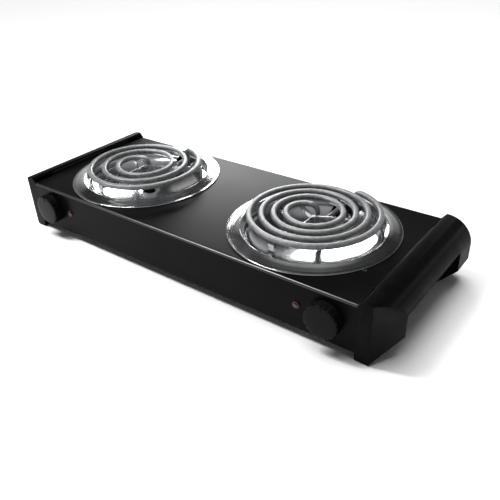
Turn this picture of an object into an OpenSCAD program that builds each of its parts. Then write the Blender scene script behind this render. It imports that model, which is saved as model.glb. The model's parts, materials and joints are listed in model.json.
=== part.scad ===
// Double-burner electric hot plate: a low sheet-metal box between two moulded end caps, with two
// tubular coil elements that sit in drip pans and tilt up at the rear, and two turning knobs.
// X runs to the right, Y to the back and Z up. The origin is on the floor, under the middle of
// everything; the modules are drawn about the middle of the box and moved back by origin_shift.

/* [Box] */
// Width of the sheet-metal box between the end caps
box_w = 482; // [460:1:600]
// Depth of the box, front to back
box_d = 200; // [199:1:250]
// Height of the box
box_h = 58; // [56:1:75]
// Thickness of the box's sheet metal
sheet_t = 0.8; // [0.6:0.1:1.2]
// Outside radius of the box's long folds
fold_r = 3; // [2:0.5:5]
// Width of the lips turned in along the bottom
lip_w = 14; // [12:1:20]

/* [End caps] */
// How far each end cap stands out beyond the box
cap_out = 36.5; // [32:0.5:45]
// How far each end cap stands up above the box's top
cap_rise = 6; // [3:0.5:9]
// Radius of the cap's rounded top
cap_r = 30; // [24:0.5:32]
// Wall of the cap's moulding
cap_wall = 2.5; // [2:0.25:3.5]
// How far the cap's legs reach below the box
leg_drop = 7; // [5:0.5:14]
// Width of a leg's sole
leg_w = 15; // [13:0.5:17]
// Height of the corner where the leg starts to slant in, above the sole
leg_slant = 23; // [16:1:28]
// Width of the cap's flat front face
cap_front_w = 16; // [12:0.5:20]
// How far back the cap's swept front corner reaches
cap_sweep = 34; // [22:1:40]
// Clear width of the hand grip between the legs
grip_w = 134; // [100:1:134]
// Height of the grip's skirt below the box's top
grip_drop = 18; // [14:1:24]
// How far the rubber pads stand out below the soles
pad_h = 1; // [0.5:0.25:2]

/* [Burners] */
// Distance from the middle of the box to each burner's centre
burner_x = 131.5; // [125:0.5:140]
// How far behind the box's middle the burners lie
burner_y = 1; // [0:0.5:1.5]
// Outside radius of a drip pan's flange
pan_rim_r = 98; // [94:0.5:98]
// Radius of a drip pan's mouth
pan_mouth_r = 82; // [80.5:0.5:84]
// Height of the mouth's edge above the box's top
pan_rise = 4.6; // [2:0.2:5]
// Depth of the pan's floor below the box's top
pan_depth = 23; // [19:0.5:26]
// Thickness of the pan's sheet
pan_t = 0.6; // [0.5:0.1:1]
// Diameter of the heating tube
tube_d = 6.8; // [6:0.1:7.5]
// Height of the tube's centre above the box's top
coil_z = 17.8; // [16:0.2:22]
// Radius of the left coil where its spiral starts
left_coil_r = 75.6; // [73:0.1:76.5]
// Distance between the left coil's turns
left_pitch = 17.9; // [17:0.1:18.5]
// Radius of the right coil where its spiral starts
right_coil_r = 76.2; // [73:0.1:76.5]
// Distance between the right coil's turns
right_pitch = 13.7; // [13:0.1:14]
// How far a coil tilts up, in degrees
tilt_max = 8; // [5:0.5:8]

/* [Controls] */
// Distance from the middle of the box to each knob's axis
knob_x = 209; // [205:0.5:214]
// Depth of the knobs' axes below the box's top
knob_drop = 26.5; // [24:0.5:30]
// Radius of a knob
knob_r = 19.5; // [16:0.5:22]
// How far a knob stands out from the panel
knob_out = 13; // [11:0.5:20]
// Distance from a knob's axis inward to its pilot lamp
lamp_gap = 34; // [30:0.5:40]
// Radius of a regulator's shaft
shaft_r = 3; // [2.5:0.25:3.5]

/* [Hidden] */
$fn = 64;

fit = 0.1;                                  // gap between fixed pieces
running = 0.06;                             // radial gap of a shaft that turns in its hole
floor_z = pad_h + leg_drop;                 // underside of the box
top_z = floor_z + box_h;                    // upper face of the box
back_in = box_d / 2 - sheet_t;              // inner face of the rear wall
tube_r = tube_d / 2;

// base plate
base_z = floor_z + sheet_t + fit;
base_t = 0.8;
base_top = base_z + base_t;
base_half_y = back_in - (fold_r - sheet_t); // the plate stops where the box's folds begin
vent_l = 46;
vent_w = 4;
vent_step = 12;
base_screw_x = [-box_w / 2 + 61, 0, box_w / 2 - 61];
base_screw_y = box_d / 2 - lip_w / 2;

// end caps, in a frame with u outward from the box's end
sole_z = pad_h;
slant_m = leg_slant / (cap_out - leg_w);
arc_u = cap_out - cap_r;
arc_z = top_z + cap_rise - cap_r;
web_y = grip_w / 2;
lug_y = web_y - 2;
lug_w = 12;
lug_l = 15;
lug_h = 12;
lug_screw_u = -9;
pad_r = 4.5;
pad_seat = 1.2;
pad_u = leg_w / 2;
pad_y = box_d / 2 - 12;

// drip pans and heat shields
pan_hole_r = pan_mouth_r + 2.5;
ledge_r = pan_mouth_r - 3;
ledge_w = 5;
ledge_z = -5;
bowl_r = ledge_r - ledge_w;
shield_r = pan_mouth_r + 3.5;
shield_lip_r = shield_r + 7;
shield_depth = pan_depth + 6.5;
shield_t = 0.5;

// coil ends: both legs drop beside the turns and run back to the hinge
spiral_angle = 25;                          // where the spiral starts, seen from its own middle
entry_r = 70;                               // the outer end turns in a little tighter than the spiral
entry_turn = 50;
inner_r = 20;                               // and so does the inner end
inner_turn = 95;
left_pole = [-0.6, -6.3];                   // middle of each spiral from the middle of its pan
right_pole = [-3.1, 0.5];
end_bend = 8;
leg_z = -10;
leg_end_y = 90;
seam = 0.02;                                // hairline between the tube's bends and its runs
seam_angle = 0.02;                          // hairline between the tube's arcs, in degrees
left_sweep = 910;
right_sweep = 1270;
stud_r = 1.4;
stud_l = 3.5;
clamp_y = 83.5;
clamp_t = 1.5;
clamp_margin = 6.5;
pin_r = 1.5;
pin_head_r = 2.6;
pin_head_t = 0.9;
hinge_y = 88;
hinge_z = -17;
ear_t = 1.5;
ear_gap = 0.6;
bracket_screw_dx = 8;
bracket_screw_z = -25;

// coil supports
arm_t = 1.3;
arm_h = 7;
arm_angles = [-93, 27, 147];
foot_w = 8;
hub_r = 2.4;

// regulators and lamps
knob_z = top_z - knob_drop;
panel_in = -box_d / 2 + sheet_t;
reg_plate = [38, 1.2, 26];
reg_block = [27, 17, 26];
reg_screw_dx = 14;
bush_r = 5;
bush_l = 4;
collar_r = 4.6;
lamp_r = 2.9;
lamp_rim_r = 4.2;
lamp_l = 19;

// electrics on the base plate
block_size = [44, 18, 14];
block_y = 62;
gland_r = 7.5;
gland_x = 0;
gland_z = top_z - 38;
wire_r = 1.3;
cutout_y = -60;

gland_out = 3;
origin_shift = [0, (knob_out - gland_out) / 2, 0];

function burner_place(s) = [s * burner_x, burner_y, top_z];
function coil_r(s) = s < 0 ? left_coil_r : right_coil_r;
function coil_pitch(s) = s < 0 ? left_pitch : right_pitch;
function coil_sweep(s) = s < 0 ? left_sweep : right_sweep;

function coil_pole(s) = s < 0 ? left_pole : right_pole;
function toward(a) = [cos(a), sin(a)];
// a coil is a chain of arcs, all turning clockwise: the entry, the spiral's half turns, the inner end
function halves(s) = ceil(coil_sweep(s) / 180);
function arc_r(s, k) = k == 0 ? entry_r : k > halves(s) ? inner_r
    : coil_r(s) - (2 * k - 1) * coil_pitch(s) / 4;
function arc_turn(s, k) = k == 0 ? entry_turn : k > halves(s) ? inner_turn
    : min(180, coil_sweep(s) - 180 * (k - 1));
function arc_start(s, k) = k == 0 ? spiral_angle + entry_turn : arc_start(s, k - 1) - arc_turn(s, k - 1);
function arc_middle(s, k) = k == 0 ? coil_pole(s) + (coil_r(s) - entry_r) * toward(spiral_angle)
    : arc_middle(s, k - 1) + (arc_r(s, k - 1) - arc_r(s, k)) * toward(arc_start(s, k));
function outer_end(s) = arc_middle(s, 0) + entry_r * toward(arc_start(s, 0));
function outer_head(s) = arc_start(s, 0) + 90;
function inner_end(s) = arc_middle(s, halves(s) + 1) + inner_r * toward(inner_head(s) + 90);
function inner_head(s) = arc_start(s, halves(s) + 1) - inner_turn - 90;
function outer_leg(s) = outer_end(s) + end_bend * toward(outer_head(s));
function inner_leg(s) = inner_end(s) + end_bend * toward(inner_head(s));
function legs_x(s) = (outer_leg(s)[0] + inner_leg(s)[0]) / 2;
function legs_half(s) = (outer_leg(s)[0] - inner_leg(s)[0]) / 2;

// thin sheet from an open outline: the second face follows the first one's normals
function step_dir(p, i) = p[min(i + 1, len(p) - 1)] - p[max(i - 1, 0)];
function shifted(p, t) = [for (i = [0 : len(p) - 1])
    p[i] + t * [step_dir(p, i)[1], -step_dir(p, i)[0]] / norm(step_dir(p, i))];
function reversed(p) = [for (i = [len(p) - 1 : -1 : 0]) p[i]];
function arc(c, r, a0, a1, n) = [for (i = [0 : n]) c + r * [cos(a0 + (a1 - a0) * i / n),
    sin(a0 + (a1 - a0) * i / n)]];

module sheet_turned(p, t) {
    rotate_extrude($fn = 96) polygon(concat(p, reversed(shifted(p, t))));
}

module placed() {
    translate(origin_shift) children();
}

module at_burner(s) {
    translate(burner_place(s)) children();
}

module at_panel(x) {
    translate([x, -box_d / 2, knob_z]) rotate([90, 0, 0]) children();
}

module rounded_rect(size, r) {
    translate([-size[0] / 2 + r, 0]) square([size[0] - 2 * r, size[1]]);
    translate([-size[0] / 2, r]) square([size[0], size[1] - 2 * r]);
    for (x = [-1, 1], y = [r, size[1] - r])
        translate([x * (size[0] / 2 - r), y]) circle(r = r);
}

module pan_head_screw(r, l, head_r, head_h) {
    cylinder(r = r, h = l);
    translate([0, 0, -head_h]) cylinder(r = head_r, h = head_h);
}

// ---- box ----
module body_shell() {
    color([0.06, 0.06, 0.07]) difference() {
        translate([-box_w / 2, 0, floor_z]) rotate([90, 0, 90]) linear_extrude(box_w)
            difference() {
                rounded_rect([box_d, box_h], fold_r);
                translate([0, sheet_t])
                    rounded_rect([box_d - 2 * sheet_t, box_h - 2 * sheet_t], fold_r - sheet_t);
                translate([-box_d / 2 + lip_w, -1]) square([box_d - 2 * lip_w, sheet_t + 2]);
            }
        for (s = [-1, 1]) {
            at_burner(s) translate([0, 0, -5]) cylinder(r = pan_hole_r, h = 10);
            at_panel(s * knob_x) translate([0, 0, -5]) cylinder(r = bush_r + 0.4, h = 10);
            for (d = [-1, 1])
                at_panel(s * knob_x + d * reg_screw_dx) translate([0, 0, -5]) cylinder(r = 1.8, h = 10);
            at_panel(s * (knob_x - lamp_gap)) translate([0, 0, -5]) cylinder(r = lamp_r + fit, h = 10);
            for (d = [-1, 1])
                bracket_screw_at(s, d) translate([0, 0, -5]) cylinder(r = 1.7, h = 10);
        }
        for (x = base_screw_x, y = [-1, 1])
            translate([x, y * base_screw_y, floor_z - 1]) cylinder(r = 1.8, h = 3);
        gland_at() translate([0, 0, -5]) cylinder(r = gland_r, h = 10);
        earth_at() translate([0, 0, -5]) cylinder(r = 1.8, h = 10);
    }
}

module base_plate() {
    color([0.72, 0.73, 0.74]) difference() {
        translate([-box_w / 2 + 1, -base_half_y, base_z])
            cube([box_w - 2, 2 * base_half_y, base_t]);
        for (x = base_screw_x, y = [-1, 1])
            translate([x, y * base_screw_y, base_z - 1]) cylinder(r = 1.5 + fit, h = 3);
        for (s = [-1, 1], y = [-1, 1])
            translate([s * (box_w / 2 + lug_screw_u), y * lug_y, base_z - 1]) cylinder(r = 1.9, h = 3);
        for (s = [-1, 1], i = [-2 : 2])
            translate([s * burner_x, burner_y + i * vent_step, base_z - 1]) vent_slot();
        for (d = [-1, 1])
            translate([d * block_size[0] / 2 - d * 5, block_y, base_z - 1]) cylinder(r = 1.6, h = 3);
        translate([0, cutout_y, base_z - 1]) cylinder(r = 1.6, h = 3);
    }
}

module vent_slot() {
    linear_extrude(3) {
        translate([-vent_l / 2, -vent_w / 2]) square([vent_l, vent_w]);
        for (d = [-1, 1]) translate([d * vent_l / 2, 0]) circle(r = vent_w / 2, $fn = 24);
    }
}

module base_screws() {
    color([0.75, 0.75, 0.76]) for (x = base_screw_x, y = [-1, 1])
        translate([x, y * base_screw_y, floor_z]) pan_head_screw(1.5, 6, 3, 1.8);
}

// ---- end caps ----
// side outline with the walls moved in by w; z is the height above the floor
function slant_u(z, w) = leg_w + (z - sole_z) / slant_m - w * sqrt(1 + slant_m * slant_m) / slant_m;
function slant_z(u, w) = sole_z + (u - leg_w) * slant_m + w * sqrt(1 + slant_m * slant_m);

module cap_side(w, u0, z0) {
    polygon([[u0, z0], [slant_u(z0, w), z0], [cap_out - w, slant_z(cap_out - w, w)],
        [cap_out - w, arc_z], [arc_u, arc_z], [arc_u, top_z + cap_rise - w],
        [arc_u - 1.5, top_z + cap_rise - w], [u0, top_z + (w > 0 ? -w : 0)]]);
    intersection() {
        translate([arc_u, arc_z]) circle(r = cap_r - w, $fn = 96);
        translate([arc_u, arc_z]) square(cap_r);
    }
}

module cap_plan(w, u0) {
    k = w * (sqrt(cap_sweep * cap_sweep + (cap_out - cap_front_w) * (cap_out - cap_front_w))
        - (cap_out - cap_front_w)) / cap_sweep;
    polygon([[u0, -box_d / 2 + w], [cap_front_w - k, -box_d / 2 + w],
        [cap_out - w, -box_d / 2 + cap_sweep + k * 0.3], [cap_out - w, box_d / 2 - w],
        [u0, box_d / 2 - w]]);
}

module cap_form(w, u0, z0) {
    intersection() {
        translate([0, box_d / 2, 0]) rotate([90, 0, 0]) linear_extrude(box_d) cap_side(w, u0, z0);
        linear_extrude(top_z + 2 * cap_rise) cap_plan(w, u0);
    }
}

module cap_moulding() {
    difference() {
        union() {
            difference() {
                cap_form(0, 0, sole_z);
                // hollow legs, open towards the box
                for (y = [-1, 1]) intersection() {
                    cap_form(cap_wall, -1, sole_z + cap_wall + 0.5);
                    translate([-2, y > 0 ? web_y + cap_wall : -box_d, 0])
                        cube([cap_out + 4, box_d - web_y - cap_wall, top_z + 20]);
                }
                // hand grip, open from below
                intersection() {
                    cap_form(cap_wall, cap_wall, -20);
                    translate([0, -web_y, -20]) cube([cap_out + 4, grip_w, top_z + 40]);
                }
                translate([cap_wall, -web_y, -20])
                    cube([cap_out, grip_w, top_z - grip_drop + 20]);
                // the grip's inner wall stops level with the box's underside
                translate([-1, -web_y, -20]) cube([cap_out, grip_w, floor_z + 20]);
            }
            // screw lugs that reach into the box over the base plate
            for (y = [-1, 1]) translate([-lug_l, y * lug_y - lug_w / 2, base_top + fit])
                cube([lug_l + cap_wall, lug_w, lug_h]);
            // tongue under the box's top
            translate([-7, -web_y + 12, top_z - sheet_t - fit - 2]) cube([7 + cap_wall, grip_w - 24, 2]);
        }
        for (y = [-1, 1]) {
            translate([lug_screw_u, y * lug_y, base_top - 1]) cylinder(r = 1.5 + fit / 2, h = 10);
            translate([pad_u, y * pad_y, sole_z - 1]) cylinder(r = pad_r + fit / 2, h = 1 + pad_seat);
        }
    }
}

module cap_at(s) {
    if (s > 0) translate([box_w / 2, 0, 0]) children();
    else mirror([1, 0, 0]) translate([box_w / 2, 0, 0]) children();
}

module end_cap(s) {
    color([0.05, 0.05, 0.055]) cap_at(s) cap_moulding();
}

module end_cap_screws() {
    color([0.75, 0.75, 0.76]) for (s = [-1, 1], y = [-1, 1])
        translate([s * (box_w / 2 + lug_screw_u), y * lug_y, base_z]) pan_head_screw(1.5, 9, 3, 1.8);
}

module foot_pads() {
    color([0.1, 0.1, 0.1]) for (s = [-1, 1], y = [-1, 1])
        translate([s * (box_w / 2 + pad_u), y * pad_y, 0]) cylinder(r = pad_r, h = pad_h + pad_seat);
}

// ---- drip pans ----
// the bowl falls by a share of its depth that grows with the sine of the angle round its wall
function bowl_drop(sine) = (pan_depth + ledge_z) * sine * (0.55 + 0.45 * sine);
function bowl_sine(drop) = (sqrt(0.55 * 0.55 + 4 * 0.45 * drop / (pan_depth + ledge_z)) - 0.55) / (2 * 0.45);

// upper face of the pan, from the rim inward, with heights above the box's top
pan_outline = concat(
    [[pan_rim_r, pan_t + 0.1], [pan_rim_r - 1.6, pan_t + 0.9]],
    [[pan_mouth_r + 2.2, pan_rise - 0.5]],
    arc([pan_mouth_r + 0.9, pan_rise - 1.5], 1.5, 60, 180, 4),
    [[ledge_r + 0.6, ledge_z + 1.2], [ledge_r - 0.6, ledge_z]],
    [[bowl_r, ledge_z]],
    [for (i = [1 : 9]) [bowl_r * cos(i * 9), ledge_z - bowl_drop(sin(i * 9))]],
    [[9, -pan_depth]]);
notch_w = tube_d + 9;
notch_over = 5;                              // room above the legs, for the coil's tilt
leg_room = 1.5;                             // room between the legs and the bowl in front of the notch

// where the bowl comes up to the legs
function notch_y(s) = let (r = bowl_r * sqrt(1 - pow(bowl_sine(ledge_z - leg_z + tube_r + leg_room), 2)),
    x = max(abs(outer_leg(s)[0]), abs(inner_leg(s)[0])) + tube_r) sqrt(r * r - x * x);

module pan_notch(s, h) {
    translate([legs_x(s) - legs_half(s) - notch_w / 2, notch_y(s), leg_z - h])
        cube([2 * legs_half(s) + notch_w, pan_hole_r, h + tube_r + notch_over]);
}

module drip_pan(s) {
    color([0.85, 0.86, 0.87]) at_burner(s) difference() {
        sheet_turned(pan_outline, -pan_t);
        pan_notch(s, 10);
    }
}

module right_pan_pip() {
    color([0.8, 0.8, 0.8]) at_burner(1) rotate([0, 0, -28]) translate([pan_rim_r + 2.2, 0, 0]) {
        cylinder(r = 1.8, h = 0.8, $fn = 32);
        translate([0, 0, 0.8]) cylinder(r1 = 1.8, r2 = 1.1, h = 0.8, $fn = 32);
    }
}

module heat_shield(s) {
    color([0.62, 0.63, 0.64]) at_burner(s) translate([0, 0, -sheet_t - fit]) difference() {
        sheet_turned([[shield_lip_r, 0], [shield_r + 1, 0], [shield_r, -1],
            [shield_r - 2, -shield_depth + 10], [shield_r - 10, -shield_depth], [14, -shield_depth]],
            -shield_t);
        translate([legs_x(s) - legs_half(s) - 16, 55, -shield_depth - 5])
            cube([2 * legs_half(s) + 32, 60, shield_depth + 10]);
    }
}

// ---- coil elements ----
// a tube drawn piece by piece: each piece starts at the origin and heads along +Z, and a hairline
// seam parts it from the one before
module tube_run(l) {
    translate([0, 0, seam]) cylinder(r = tube_r, h = l - 2 * seam);
    translate([0, 0, l]) children();
}

module tube_bend(to) {
    rotate([0, 0, to]) {
        translate([end_bend, 0, 0]) rotate([90, 0, 0]) rotate([0, 0, 90])
            rotate_extrude(angle = 90) translate([end_bend, 0]) circle(r = tube_r, $fn = 32);
        translate([end_bend, 0, end_bend]) rotate([0, 90, 0]) children();
    }
}

module coil_leg(heading, start_y) {
    drop = coil_z - leg_z - 2 * end_bend;
    rotate([0, 0, heading - 90]) rotate([-90, 0, 0]) translate([0, 0, seam])
        tube_bend(90) tube_run(drop) tube_bend(heading + 90)
            tube_run(leg_end_y - start_y - end_bend);
}

module coil(s) {
    color([0.36, 0.37, 0.38]) at_burner(s) translate([0, 0, coil_z]) {
        for (k = [0 : halves(s) + 1]) translate(arc_middle(s, k))
            rotate([0, 0, arc_start(s, k) - arc_turn(s, k)])
                rotate_extrude(angle = arc_turn(s, k) - seam_angle)
                    translate([arc_r(s, k), 0]) circle(r = tube_r, $fn = 32);
        translate(outer_end(s)) coil_leg(outer_head(s), outer_leg(s)[1]);
        translate(inner_end(s)) coil_leg(inner_head(s), inner_leg(s)[1]);
    }
}

module coil_support(s) {
    reach = ledge_r - ledge_w / 2;
    arm_top = coil_z - tube_r - fit;
    color([0.6, 0.6, 0.61]) at_burner(s) {
        translate([0, 0, arm_top - arm_h]) cylinder(r = hub_r, h = arm_h);
        for (a = arm_angles) rotate([0, 0, a]) {
            translate([hub_r / 2, -arm_t / 2, arm_top - arm_h])
                cube([reach - hub_r / 2 - arm_t / 2, arm_t, arm_h]);
            translate([reach - arm_t, -foot_w / 2, ledge_z + fit])
                cube([arm_t, foot_w, arm_top - ledge_z - fit]);
        }
    }
}

module coil_clamp(s) {
    color([0.7, 0.7, 0.71]) at_burner(s) translate([legs_x(s), 0, 0]) difference() {
        union() {
            translate([-legs_half(s) - clamp_margin, clamp_y, leg_z - tube_r - 3])
                cube([2 * (legs_half(s) + clamp_margin), clamp_t, 2 * tube_r + 6]);
            for (d = [-1, 1]) translate([d > 0 ? legs_half(s) + clamp_margin - ear_t
                : -legs_half(s) - clamp_margin, clamp_y, hinge_z - 4])
                cube([ear_t, hinge_y - clamp_y + 3, leg_z - tube_r - 3 - hinge_z + 6]);
        }
        for (d = [-1, 1]) translate([d * legs_half(s), clamp_y - 1, leg_z]) rotate([-90, 0, 0])
            cylinder(r = tube_r + fit / 2, h = clamp_t + 2);
        translate([-40, hinge_y, hinge_z]) rotate([0, 90, 0]) cylinder(r = pin_r + running, h = 80);
    }
}

module coil_studs(s) {
    color([0.8, 0.8, 0.8]) at_burner(s) for (d = [-1, 1])
        translate([legs_x(s) + d * legs_half(s), leg_end_y, leg_z]) rotate([-90, 0, 0]) {
            cylinder(r = stud_r, h = stud_l);
            cylinder(r = 2.6, h = 1.4, $fn = 6);
        }
}

// ---- hinges of the coils ----
function ear_x(s) = legs_half(s) + clamp_margin + ear_gap;

module hinge_bracket(s) {
    depth = back_in - burner_y;
    color([0.7, 0.7, 0.71]) at_burner(s) translate([legs_x(s), 0, 0]) difference() {
        union() {
            for (d = [-1, 1]) translate([d > 0 ? ear_x(s) : -ear_x(s) - ear_t, hinge_y - 4, hinge_z - 14])
                cube([ear_t, depth - fit - hinge_y + 4, 18]);
            translate([-ear_x(s) - ear_t, depth - fit - 1.2, hinge_z - 14])
                cube([2 * (ear_x(s) + ear_t), 1.2, 18]);
        }
        translate([-40, hinge_y, hinge_z]) rotate([0, 90, 0]) cylinder(r = pin_r + running, h = 80);
        for (d = [-1, 1]) translate([d * bracket_screw_dx, depth - 4, bracket_screw_z])
            rotate([-90, 0, 0]) cylinder(r = 1.5 + fit / 2, h = 8);
    }
}

module hinge_pin(s) {
    half = ear_x(s) + ear_t + fit;
    color([0.8, 0.8, 0.8]) at_burner(s) translate([legs_x(s) - half, hinge_y, hinge_z])
        rotate([0, 90, 0]) {
            cylinder(r = pin_r, h = 2 * half);
            translate([0, 0, -pin_head_t]) cylinder(r = pin_head_r, h = pin_head_t);
            translate([0, 0, 2 * half]) cylinder(r = pin_head_r, h = pin_head_t);
        }
}

module bracket_screw_at(s, d) {
    translate([s * burner_x + legs_x(s) + d * bracket_screw_dx, box_d / 2, top_z + bracket_screw_z])
        rotate([90, 0, 0]) children();
}

module hinge_bracket_screws() {
    color([0.15, 0.15, 0.15]) for (s = [-1, 1], d = [-1, 1])
        bracket_screw_at(s, d) pan_head_screw(1.5, 5, 2.9, 1.6);
}

// ---- regulators, knobs and lamps ----
module regulator_frame(s) {
    color([0.75, 0.75, 0.76]) at_panel(s * knob_x) translate([0, 0, -sheet_t - fit]) difference() {
        union() {
            translate([-reg_plate[0] / 2, -reg_plate[2] / 2, -reg_plate[1]])
                cube([reg_plate[0], reg_plate[2], reg_plate[1]]);
            translate([0, 0, -reg_plate[1]]) cylinder(r = bush_r, h = reg_plate[1] + bush_l);
        }
        translate([0, 0, -10]) cylinder(r = shaft_r + running, h = 30);
        for (d = [-1, 1]) translate([d * reg_screw_dx, 0, -5]) cylinder(r = 1.5 + fit / 2, h = 10);
    }
}

module regulator_block(s) {
    back = -sheet_t - 2 * fit - reg_plate[1];
    color([0.88, 0.86, 0.8]) at_panel(s * knob_x) difference() {
        union() {
            translate([-reg_block[0] / 2 + 2, -reg_block[2] / 2, back - reg_block[1]])
                cube([reg_block[0] - 4, reg_block[2], reg_block[1]]);
            for (d = [-1, 1]) translate([d * 7, 0, back - reg_block[1] - 6]) rotate([0, 0, 90])
                translate([-3.2, -0.4, 0]) cube([6.4, 0.8, 7]);
        }
        translate([0, 0, back - 12]) cylinder(r = collar_r + 0.3, h = 20);
        for (d = [-1, 1]) translate([d * reg_screw_dx, 0, back - 6]) cylinder(r = 2.6, h = 10);
    }
}

module regulator_screws() {
    color([0.75, 0.75, 0.76]) for (s = [-1, 1], d = [-1, 1])
        at_panel(s * knob_x + d * reg_screw_dx) rotate([180, 0, 0]) pan_head_screw(1.5, 5, 2.6, 1.2);
}

module shaft(s) {
    inner = sheet_t + 2 * fit + reg_plate[1];
    color([0.8, 0.8, 0.8]) at_panel(s * knob_x) difference() {
        union() {
            translate([0, 0, -inner - 9]) cylinder(r = shaft_r, h = inner + 9 + knob_out - 4);
            translate([0, 0, -inner - 9]) cylinder(r = collar_r - 0.3, h = 8);
        }
        // flat that keys the knob
        translate([-10, shaft_r - 1, bush_l + 0.3]) cube([20, 10, 40]);
    }
}

module knob(s) {
    color([0.04, 0.04, 0.045]) at_panel(s * knob_x) difference() {
        union() {
            rotate_extrude($fn = 96) polygon([[0, 1.4], [knob_r, 1.4], [knob_r, 3],
                [knob_r - 0.6, knob_out - 2.2], [knob_r - 1.4, knob_out - 1.1],
                [knob_r - 3, knob_out - 0.6], [0, knob_out - 0.2]]);
            // raised pointer
            translate([-0.8, knob_r - 8, knob_out - 1.5]) cube([1.6, 6.5, 1.5]);
        }
        // open back around the boss and the fixing screws
        difference() {
            translate([0, 0, 0]) cylinder(r = knob_r - 2, h = knob_out - 3.5);
            translate([0, 0, bush_l + 0.4]) cylinder(r = shaft_r + 2.6, h = knob_out);
        }
        intersection() {
            cylinder(r = shaft_r + 0.05, h = knob_out - 3.6);
            translate([-10, -10, 0]) cube([20, 10 + shaft_r - 0.95, 40]);
        }
        // finger flutes round the rim
        for (i = [0 : 17]) rotate([0, 0, i * 20 + 10]) translate([knob_r + 1.4, 0, 4])
            cylinder(r = 2.2, h = knob_out, $fn = 24);
    }
}

module lamp_lens(s) {
    color([0.7, 0.1, 0.08]) at_panel(s * (knob_x - lamp_gap)) rotate_extrude($fn = 48)
        polygon([[0, -3], [lamp_r, -3], [lamp_r, fit], [lamp_rim_r, fit], [lamp_rim_r, 1],
            [lamp_rim_r - 0.8, 1.5], [lamp_r, 1.2], [lamp_r * 0.8, 2.1], [lamp_r * 0.45, 2.6], [0, 2.8]]);
}

module lamp_body(s) {
    color([0.1, 0.1, 0.1]) at_panel(s * (knob_x - lamp_gap)) translate([0, 0, -lamp_l]) {
        cylinder(r = lamp_r, h = lamp_l - 3 - fit);
        translate([0, 0, lamp_l - 6]) cylinder(r = lamp_r + 1.2, h = 2.5);
    }
}

// ---- electrics ----
module mains_terminal_block() {
    color([0.85, 0.84, 0.8]) translate([0, block_y, base_top + fit]) difference() {
        translate([-block_size[0] / 2, -block_size[1] / 2, 0]) cube(block_size);
        for (i = [-1 : 1]) {
            translate([i * 10, -block_size[1], 7]) rotate([-90, 0, 0]) cylinder(r = 1.8, h = 2 * block_size[1]);
            for (y = [-4, 4]) translate([i * 10, y, 9]) cylinder(r = 2.2, h = 10);
        }
        for (d = [-1, 1]) translate([d * (block_size[0] / 2 - 5), 0, -1]) cylinder(r = 1.5 + fit / 2, h = 9);
    }
}

module terminal_block_screws() {
    color([0.75, 0.75, 0.76]) for (d = [-1, 1])
        translate([d * (block_size[0] / 2 - 5), block_y, base_z]) pan_head_screw(1.5, 7, 2.8, 1.4);
}

module thermal_cutout() {
    color([0.15, 0.12, 0.1]) translate([0, cutout_y, base_top + 6.2 + fit]) {
        cylinder(r = 7.5, h = 8, $fn = 48);
        for (d = [-1, 1]) translate([d * 10 - 3.1, -3.1, 8.0]) cube([6.2, 6.2, 0.8]);
        translate([-10, -2, 7.2]) cube([20, 4, 0.9]);
    }
}

module cutout_bracket() {
    color([0.72, 0.73, 0.74]) translate([0, cutout_y, base_top + fit]) difference() {
        union() {
            translate([-10, -6, 5]) cube([20, 12, 1.1]);
            for (d = [-1, 1]) translate([d > 0 ? 8.9 : -10, -6, 0]) cube([1.1, 12, 5.5]);
            translate([-10, -6, 0]) cube([20, 12, 1]);
        }
        translate([0, 0, -1]) cylinder(r = 1.5, h = 3);
    }
}

module gland_at() {
    translate([gland_x, box_d / 2, gland_z]) rotate([-90, 0, 0]) children();
}

// the cord's entry: a snap-in bush in the rear wall
module cord_gland() {
    color([0.06, 0.06, 0.06]) gland_at() difference() {
        union() {
            translate([0, 0, fit])
                cylinder(r1 = gland_r + 2.5, r2 = gland_r + 1.5, h = gland_out - fit);
            translate([0, 0, -sheet_t - 5]) cylinder(r = gland_r - fit, h = sheet_t + 5 + 1);
            translate([0, 0, -sheet_t - fit - 2.5]) cylinder(r = gland_r + 1, h = 2.5);
        }
        translate([0, 0, -10]) cylinder(r = 3.8, h = 20);
    }
}

module earth_at() {
    translate([gland_x + 24, box_d / 2, gland_z]) rotate([-90, 0, 0]) children();
}

module earth_screw() {
    color([0.8, 0.72, 0.4]) earth_at() {
        rotate([180, 0, 0]) pan_head_screw(1.6, 7, 3, 1.8);
        translate([0, 0, -sheet_t - fit - 2]) cylinder(r = 3, h = 2, $fn = 6);
    }
}

// ---- wiring ----
// a lead swept along its route, with each corner rounded
wire_sides = 8;
wire_bend = 5;
function unit(v) = v / norm(v);
function corner(p, i) = [for (t = [0, 0.33, 0.67, 1]) let (
        reach = min(wire_bend, norm(p[i] - p[i - 1]) * 0.45, norm(p[i + 1] - p[i]) * 0.45),
        a = p[i] - reach * unit(p[i] - p[i - 1]), b = p[i] + reach * unit(p[i + 1] - p[i]))
    (1 - t) * (1 - t) * a + 2 * t * (1 - t) * p[i] + t * t * b];
function rounded(p) = concat([p[0]], [for (i = [1 : len(p) - 2]) each corner(p, i)], [p[len(p) - 1]]);
function heading(p, i) = unit(p[min(i + 1, len(p) - 1)] - p[max(i - 1, 0)]);
function squared(v, t) = unit(v - (v * t) * t);
function sides(p, i = 0, v = [0.36, 0.48, 0.8]) = i == len(p) ? []
    : let (w = squared(v, heading(p, i))) concat([w], sides(p, i + 1, w));

module wire(route, r) {
    p = rounded(route);
    v = sides(p);
    n = len(p);
    m = wire_sides;
    polyhedron(
        [for (i = [0 : n - 1], k = [0 : m - 1]) let (w = cross(heading(p, i), v[i]))
            p[i] + r * (v[i] * cos(360 * k / m) + w * sin(360 * k / m))],
        concat([[for (k = [0 : m - 1]) k]],
            [for (i = [0 : n - 2], k = [0 : m - 1])
                [i * m + k, (i + 1) * m + k, (i + 1) * m + (k + 1) % m, i * m + (k + 1) % m]],
            [[for (k = [m - 1 : -1 : 0]) (n - 1) * m + k]]));
}

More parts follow.
